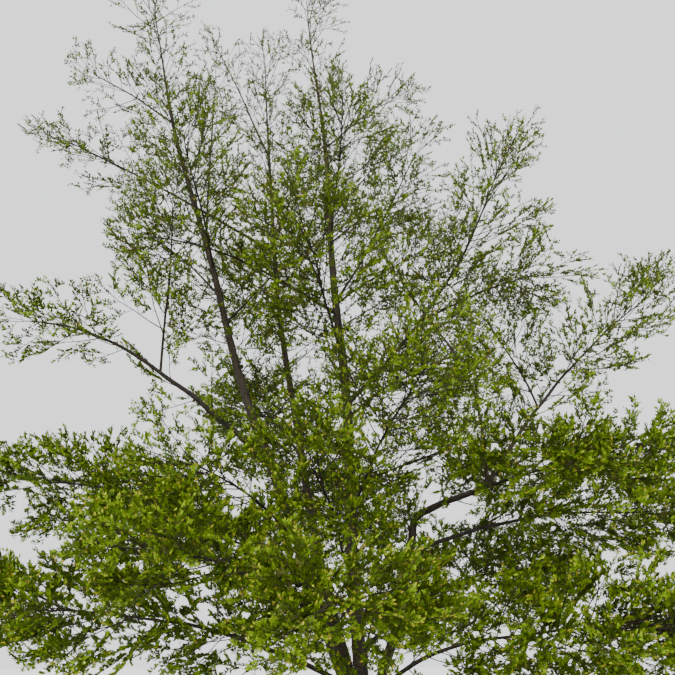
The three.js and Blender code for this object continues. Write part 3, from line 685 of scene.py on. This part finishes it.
def tubes(paths, foot, tip, sides):
    """Tapering tubes round paths, each open at its root, inside its bearer, and ending in a point: the
    corners of each, and the triangles of one."""
    rings = paths.shape[1] - 1
    ways = unit(np.gradient(paths, axis=1))[:, :rings]
    steep = np.abs(unit(paths[:, -1] - paths[:, 0])[:, 2:]) > STEEP
    side = unit(np.cross(np.where(steep, (1.0, 0, 0), (0, 0, 1.0))[:, None], ways))
    rise = np.cross(ways, side)
    radius = mix(foot[:, None], tip, np.arange(rings) / rings)[..., None, None]
    turn = 2 * np.pi * np.arange(sides)[:, None] / sides
    around = side[:, :, None] * np.cos(turn) + rise[:, :, None] * np.sin(turn)
    hoops = (paths[:, :rings, None] + radius * around).reshape(len(paths), -1, 3)
    corners = np.concatenate([hoops, paths[:, -1:]], axis=1)
    triangles = []
    for ring in range(rings):
        for j in range(sides):
            a, b = ring * sides + j, ring * sides + (j + 1) % sides
            if ring == rings - 1:
                triangles.append((a, b, rings * sides))
            else:
                triangles += [(a, b, b + sides), (a, b + sides, a + sides)]
    return corners, np.array(triangles)


def mass_stems():
    """Each mass's stem: the solids' run through five points, with the corners rounded off."""
    paths = np.array([[along(mass, t)[0] for t in np.linspace(0, 1, STEM_CORNERS)] for mass in MASSES])
    for _ in range(STEM_SMOOTHING):
        paths[:, 1:-1] = (paths[:, :-2] + 2 * paths[:, 1:-1] + paths[:, 2:]) / 4
    return paths


def array_piece(name, slot, run, corners, triangles, materials, numbers, smooth):
    """A piece from arrays of corners and triangles, which stands for a run of masses. numbers says which of
    its materials each triangle has."""
    mesh = bpy.data.meshes.new(name)
    mesh.vertices.add(len(corners))
    mesh.vertices.foreach_set("co", corners.astype(np.float32).ravel())
    mesh.loops.add(triangles.size)
    mesh.loops.foreach_set("vertex_index", triangles.astype(np.int32).ravel())
    mesh.polygons.add(len(triangles))
    mesh.polygons.foreach_set("loop_start", np.arange(0, triangles.size, 3, dtype=np.int32))
    for material in materials:
        mesh.materials.append(material)
    mesh.polygons.foreach_set("material_index", numbers.astype(np.int32))
    mesh.polygons.foreach_set("use_smooth", np.full(len(triangles), smooth))
    mesh.update(calc_edges=True)
    piece = bpy.data.objects.new(name, mesh)
    bpy.context.scene.collection.objects.link(piece)
    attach(piece, "root")
    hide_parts(*(MASSES[i]["name"] for i in run))


def bundles(counts):
    """Runs of masses, in the table's order, that come to no more than PIECE_LIMIT triangles each."""
    run, total = [], 0
    for i, count in enumerate(counts):
        if run and total + count > PIECE_LIMIT:
            yield run
            run, total = [], 0
        run.append(i)
        total += count
    yield run


def add_leaves(leaves):
    materials = [leaf_material(*tint) for tint in LEAF_TINTS]
    faces = np.where(is_high(leaves), len(HIGH_LEAF_TIERS), len(LEAF_TIERS))
    counts = np.bincount(leaves["owner"], weights=faces, minlength=len(MASSES))
    for number, run in enumerate(bundles(counts), 1):
        here = chosen(leaves, np.isin(leaves["owner"], run))
        corners, triangles, tints = leaf_mesh(here)
        array_piece(f"leaves_{number}", "leaves", run, corners, triangles, materials, tints, False)


def add_twigs(twigs, shoots, spurs):
    """The stems of the masses, and every twig, shoot and spur, joined."""
    feet = np.array([mass["foot"] for mass in MASSES])
    slim = np.clip(twigs["length"] / LONG_TWIG, *SLIM)
    shoot_feet = np.full(len(shoots["owner"]), SHOOT_RADIUS)
    spur_feet = np.full(len(spurs["owner"]), SPUR_RADIUS)
    batches = [
        (np.arange(len(MASSES)), tubes(mass_stems(), feet, STEM_TIP, STEM_SIDES), 0),
        (twigs["owner"], tubes(twigs["paths"], TWIG_RADIUS * slim, SHOOT_RADIUS, TWIG_SIDES), 0),
        (shoots["owner"], tubes(shoots["paths"], shoot_feet, SPUR_RADIUS, TWIG_SIDES), 1),
        (spurs["owner"], tubes(spurs["paths"], spur_feet, SPUR_RADIUS, TWIG_SIDES), 1),
    ]
    counts = sum(np.bincount(owner, minlength=len(MASSES)) * len(tube[1]) for owner, tube, _ in batches)
    materials = [old_twig_bark(), young_twig_bark()]
    for number, run in enumerate(bundles(counts), 1):
        corners, triangles, tones = [], [], []
        for owner, (hoops, pattern), tone in batches:
            here = hoops[np.isin(owner, run)]
            first = sum(len(part) for part in corners)
            step = first + np.arange(len(here))[:, None, None] * hoops.shape[1]
            corners.append(here.reshape(-1, 3))
            triangles.append((pattern + step).reshape(-1, 3))
            tones.append(np.full(len(triangles[-1]), tone))
        arrays = [np.concatenate(parts) for parts in (corners, triangles)]
        array_piece(f"twigs_{number}", "bark", run, *arrays, materials, np.concatenate(tones), True)


def limb_rings(limb):
    """Where each ring of a limb goes, the way it faces and its radius."""
    count = limb.get("rings", BOUGH_RINGS)
    bearer = limb["bearer"]
    goes_on = bearer and limb["at"] == 1
    start = BEND * bearer["tip"] / limb["length"] if goes_on else 0
    end = 1 - (BEND - BEND_OVERLAP) * limb["tip"] / limb["length"] if is_carried_on(limb) else 1
    shares = [mix(start, end, (k / count) ** (1 if bearer else FOOT_SPACING)) for k in range(count)]
    shares += [end - TIP_RING * limb["tip"] / limb["length"], end]
    last = len(shares) - 1
    places = [Vector(along(limb, t)[0]) for t in shares]
    ways = [(places[min(k + 1, last)] - places[max(k - 1, 0)]).normalized() for k in range(last + 1)]
    radii = [radius_at(limb, t) for t in shares]
    if not bearer:
        ways[0] = Vector((0, 0, 1))
        radii = [radius + (1 - FLARE_RIPPLE) * flare(place.z) for radius, place in zip(radii, places)]
    elif goes_on:
        corner, way = (Vector(part) for part in along(bearer, 1))
        back = corner - way * BEND * bearer["tip"]
        bend = [k / BEND_RINGS for k in range(BEND_RINGS)]
        places = [back * (1 - t) ** 2 + corner * 2 * t * (1 - t) + places[0] * t**2 for t in bend] + places
        ways = [way.lerp(ways[0], t).normalized() for t in bend] + ways
        radii = [mix(bearer["tip"], radii[0], t) for t in bend] + radii
    else:
        buried = radius_at(bearer, limb["at"])
        out = [max(0, t * limb["length"] - buried) for t in shares]
        radii = [r * (1 + COLLAR * math.exp(-s / (COLLAR_REACH * limb["foot"]))) for r, s in zip(radii, out)]
    return places, ways, radii


def is_carried_on(limb):
    """True for a limb from whose tip another goes on."""
    return any(other["bearer"] is limb and other["at"] == 1 for other in LIMBS)


def flare(height):
    """How far the stool's buttresses stand out at their crests."""
    return FLARE_SPREAD * math.exp(-height / FLARE_HEIGHT)


def pull_out_limb(limb):
    """A disc at the limb's foot, pulled out ring by ring along its run, turned and narrowed as it goes."""
    places, ways, radii = limb_rings(limb)
    bpy.ops.object.select_all(action="DESELECT")
    bpy.ops.mesh.primitive_circle_add(vertices=limb.get("sides", BOUGH_SIDES), radius=radii[0],
                                      fill_type="NGON", location=places[0])
    piece = bpy.context.object
    bpy.ops.object.mode_set(mode="EDIT")
    turn_ring(Vector((0, 0, 1)), ways[0], places[0])
    for k in range(1, len(places)):
        bpy.ops.mesh.extrude_region_move(TRANSFORM_OT_translate={"value": places[k] - places[k - 1]})
        turn_ring(ways[k - 1], ways[k], places[k])
        bpy.ops.transform.resize(value=(radii[k] / radii[k - 1],) * 3, center_override=places[k])
    bpy.ops.mesh.select_all(action="SELECT")
    bpy.ops.mesh.normals_make_consistent(inside=False)
    bpy.ops.object.mode_set(mode="OBJECT")
    bpy.ops.object.transform_apply(location=True, rotation=True, scale=True)
    return piece


def turn_ring(before, after, middle):
    """Turns what is selected about its middle, from facing one way to facing another."""
    if before.angle(after) < NO_TURN:
        return
    turn = before.cross(after).normalized() * before.angle(after)
    for axis, part in zip("XYZ", turn):
        bpy.ops.transform.rotate(value=-part, orient_axis=axis, center_override=middle)


def apply_modifier(piece, kind, **settings):
    modifier = piece.modifiers.new(kind.lower(), kind)
    for key, value in settings.items():
        setattr(modifier, key, value)
    bpy.ops.object.modifier_apply(modifier=modifier.name)


def relief_texture(kind, **settings):
    texture = bpy.data.textures.new(kind.lower(), kind)
    for key, value in settings.items():
        setattr(texture, key, value)
    return texture


def raise_relief(piece, limb, plate, depth, texture):
    """Pushes the surface in and out by a texture whose features are drawn out along the limb."""
    bpy.ops.object.empty_add(location=(0, 0, 0))
    guide = bpy.context.object
    guide.rotation_euler = limb_turn(limb)
    guide.scale = plate
    bpy.context.view_layer.update()
    bpy.ops.object.select_all(action="DESELECT")
    piece.select_set(True)
    bpy.context.view_layer.objects.active = piece
    apply_modifier(piece, "DISPLACE", texture=texture, texture_coords="OBJECT", texture_coords_object=guide,
                   strength=depth, mid_level=0.5)
    bpy.data.objects.remove(guide)


def limb_turn(limb):
    """The turn that takes Z to the line from the limb's foot to its tip."""
    return Vector(limb["points"][-1] - limb["points"][0]).to_track_quat("Z", "Y").to_euler()


def add_limb(limb):
    """One limb with its bark's relief: lumps, and cracks between plates on the trunk and stems."""
    piece = pull_out_limb(limb)
    if not limb["bearer"]:
        crease = piece.data.attributes.new("crease_edge", "FLOAT", "EDGE")
        for edge in piece.data.edges:
            heights = [piece.data.vertices[corner].co.z for corner in edge.vertices]
            crease.data[edge.index].value = float(max(heights) < ON_GROUND)
    apply_modifier(piece, "SUBSURF", levels=SUBDIVISIONS, render_levels=SUBDIVISIONS)
    if not limb["bearer"]:
        for vertex in piece.data.vertices:
            angle = math.atan2(vertex.co.y, vertex.co.x)
            outward = Vector((math.cos(angle), math.sin(angle), 0))
            share = min(1, vertex.co.xy.length / limb["foot"])
            vertex.co += outward * share * FLARE_RIPPLE * flare(vertex.co.z) * math.cos(FLARE_ROOTS * angle)
    lumps = relief_texture("CLOUDS", noise_scale=1)
    raise_relief(piece, limb, (LUMP,) * 3, limb["foot"] * LUMP_DEPTH, lumps)
    if is_stem(limb):
        cracks = relief_texture("VORONOI", noise_scale=1, weight_1=-1, weight_2=1, intensity=CRACK_CONTRAST)
        width, length = RELIEF_PLATE
        raise_relief(piece, limb, (width, width, length), CRACK_DEPTH, cracks)
    for vertex in piece.data.vertices:
        vertex.co.z = max(vertex.co.z, 0)
    bpy.ops.object.shade_smooth()
    piece.name = limb["name"] + "_bark"
    piece.data.materials.append(fissured_bark(limb) if is_stem(limb) else smooth_bark())
    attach(piece, "root")
    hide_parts(limb["name"])


def srgb(code):
    """An sRGB hex colour as linear red, green, blue and alpha, by the standard's curve."""
    parts = [int(code[i:i + 2], 16) / 255 for i in (1, 3, 5)]
    return [part / 12.92 if part <= 0.04045 else ((part + 0.055) / 1.055) ** 2.4 for part in parts] + [1]


def new_material(name, roughness, gloss):
    """A material with no more than a Principled shader: the material, its nodes and the shader."""
    material = bpy.data.materials.get(name) or bpy.data.materials.new(name)
    material.use_nodes = True
    shader = material.node_tree.nodes["Principled BSDF"]
    shader.inputs["Roughness"].default_value = roughness
    shader.inputs["Specular IOR Level"].default_value = gloss
    return material, material.node_tree, shader


def node(tree, kind, inputs, **settings):
    """Adds a node. Each of its inputs gets a plain value, or a link from another node's output."""
    new = tree.nodes.new(kind)
    for key, value in settings.items():
        setattr(new, key, value)
    for key, value in inputs.items():
        if isinstance(value, bpy.types.NodeSocket):
            tree.links.new(value, new.inputs[key])
        else:
            new.inputs[key].default_value = value
    return new.outputs


def fissured_bark(limb):
    """Alder bark on old wood, grown in place: grey-brown plates with dark cracks between them, matt, and
    a greenish film of algae low down. The browns of plates and cracks are darker than the bark's own, as
    painted shade of limbs that stand in the crown's shade."""
    name = f"Fissured alder bark, {limb['name'].replace('_', ' ')}"
    material, tree, shader = new_material(name, roughness=0.92, gloss=0.25)
    place = node(tree, "ShaderNodeTexCoord", {})["Object"]
    width, length = PLATE
    along_limb = node(tree, "ShaderNodeMapping",
                      {"Vector": place, "Rotation": limb_turn(limb), "Scale": (width, width, length)},
                      vector_type="TEXTURE")["Vector"]
    stray = node(tree, "ShaderNodeTexNoise",
                 {"Vector": along_limb, "Scale": 0.9, "Detail": 4, "Roughness": 0.6})["Color"]
    warped = node(tree, "ShaderNodeVectorMath", {0: stray, 1: (CRACK_STRAY,) * 3, 2: along_limb},
                  operation="MULTIPLY_ADD")["Vector"]
    edge = node(tree, "ShaderNodeTexVoronoi", {"Vector": warped, "Scale": 1},
                feature="DISTANCE_TO_EDGE")["Distance"]
    uncracked = node(tree, "ShaderNodeMapRange", {"Value": edge, "From Min": 0, "From Max": 0.13})["Result"]
    patches = node(tree, "ShaderNodeTexNoise", {"Vector": along_limb, "Scale": 0.4, "Detail": 3})["Fac"]
    whole = node(tree, "ShaderNodeMapRange", {"Value": patches, "From Min": 0.4, "From Max": 0.62})["Result"]
    plate = node(tree, "ShaderNodeMath", {0: uncracked, 1: whole}, operation="MAXIMUM")[0]
    grain = node(tree, "ShaderNodeTexNoise",
                 {"Vector": along_limb, "Scale": 3, "Detail": 8, "Roughness": 0.65})["Fac"]
    # painted shade: these browns, and the cracks' colour below, are darker than the bark's own grey-brown
    wood = node(tree, "ShaderNodeMix", {0: grain, 6: srgb("#211b14"), 7: srgb("#4a4135")},
                data_type="RGBA")[2]
    height = node(tree, "ShaderNodeSeparateXYZ", {"Vector": place})["Z"]
    patch = node(tree, "ShaderNodeTexNoise", {"Vector": place, "Scale": 1 / ALGAE_PATCH, "Detail": 4})["Fac"]
    low = node(tree, "ShaderNodeMapRange",
               {"Value": height, "From Min": 0, "From Max": ALGAE_HEIGHT, "To Min": 0.6, "To Max": 0.05}
               )["Result"]
    film = node(tree, "ShaderNodeMath", {0: patch, 1: low}, operation="MULTIPLY")[0]
    green = node(tree, "ShaderNodeMix", {0: film, 6: wood, 7: srgb("#474a2c")}, data_type="RGBA")[2]
    colour = node(tree, "ShaderNodeMix", {0: plate, 6: srgb("#15100b"), 7: green}, data_type="RGBA")[2]
    rough = node(tree, "ShaderNodeMath", {0: grain, 1: 0.35, 2: plate}, operation="MULTIPLY_ADD")[0]
    bump = node(tree, "ShaderNodeBump", {"Height": rough, "Strength": 0.7, "Distance": 0.008})["Normal"]
    tree.links.new(colour, shader.inputs["Base Color"])
    tree.links.new(bump, shader.inputs["Normal"])
    return material


def smooth_bark():
    """Alder bark on a bough: still whole, grey-brown darkened as painted shade, mottled, with a slight
    sheen.
    """
    material, tree, shader = new_material("Smooth alder bark", roughness=0.8, gloss=0.3)
    place = node(tree, "ShaderNodeTexCoord", {})["Object"]
    mottle = node(tree, "ShaderNodeTexNoise",
                  {"Vector": place, "Scale": 1 / MOTTLE, "Detail": 6, "Roughness": 0.6})["Fac"]
    shade = node(tree, "ShaderNodeMapRange", {"Value": mottle, "From Min": 0.35, "From Max": 0.7})["Result"]
    # painted shade: both browns are darker than the bark's own grey-brown
    colour = node(tree, "ShaderNodeMix", {0: shade, 6: srgb("#17130e"), 7: srgb("#383026")},
                  data_type="RGBA")[2]
    bump = node(tree, "ShaderNodeBump", {"Height": mottle, "Strength": 0.5, "Distance": 0.004})["Normal"]
    tree.links.new(colour, shader.inputs["Base Color"])
    tree.links.new(bump, shader.inputs["Normal"])
    return material


def plain_material(name, colour, roughness, gloss=0.5):
    material, _, shader = new_material(name, roughness, gloss)
    shader.inputs["Base Color"].default_value = srgb(colour)
    return material


def old_twig_bark():
    """Bark of twigs a few years old: dark, matt grey-brown."""
    return plain_material("Alder twig bark", "#2a231b", 0.85, 0.2)


def young_twig_bark():
    """Bark of this year's shoots: smooth, olive-brown, with a slight sheen."""
    return plain_material("Young alder shoot bark", "#3a301d", 0.7, 0.2)


def leaf_material(name, colour):
    """A young cut leaf, soft and thin: an even green that a faint, broad gloss hardly lightens."""
    return plain_material(name, colour, 0.65, 0.12)


def add_camera():
    """The photograph's viewpoint: eye height, sixteen metres in front, tilted up."""
    bpy.ops.object.camera_add(location=CAMERA_PLACE, rotation=(math.radians(90 + CAMERA_TILT), 0, 0))
    camera = bpy.context.object
    camera.data.lens = CAMERA_LENS
    camera.data.sensor_width = 36
    camera.data.clip_end = 200
    bpy.context.scene.camera = camera


def add_light():
    """Pale even sky light all round, and a soft sun from the front left."""
    world = bpy.data.worlds.new("Overcast sky")
    world.use_nodes = True
    background = world.node_tree.nodes["Background"]
    background.inputs["Color"].default_value = srgb("#f3f5f7")
    background.inputs["Strength"].default_value = SKY_STRENGTH
    bpy.context.scene.world = world
    turn = [math.radians(angle) for angle in SUN_TURN]
    bpy.ops.object.light_add(type="SUN", location=SUN_PLACE, rotation=turn)
    sun = bpy.context.object.data
    sun.energy = SUN_STRENGTH
    sun.angle = SUN_WIDTH


def add_floor():
    bpy.ops.object.select_all(action="DESELECT")
    bpy.ops.mesh.primitive_circle_add(vertices=96, radius=FLOOR_RADIUS, fill_type="NGON",
                                      location=(0, 0, -FLOOR_DROP))
    floor = bpy.context.object
    floor.name = "floor"
    floor.data.materials.append(plain_material("Pale floor", "#dcdcd8", 0.9))


lay_out()
draws = np.random.default_rng(SEED)
for limb in LIMBS:
    add_limb(limb)
main = grow_twigs()
shoots = grow_shoots(main, **SHOOTS)
spurs = grow_shoots(shoots, **SPURS)
add_twigs(main, shoots, spurs)
add_leaves(joined(*map(grow_leaves, (main, shoots, spurs), LEAVES_FROM)))
add_floor()
add_light()
add_camera()
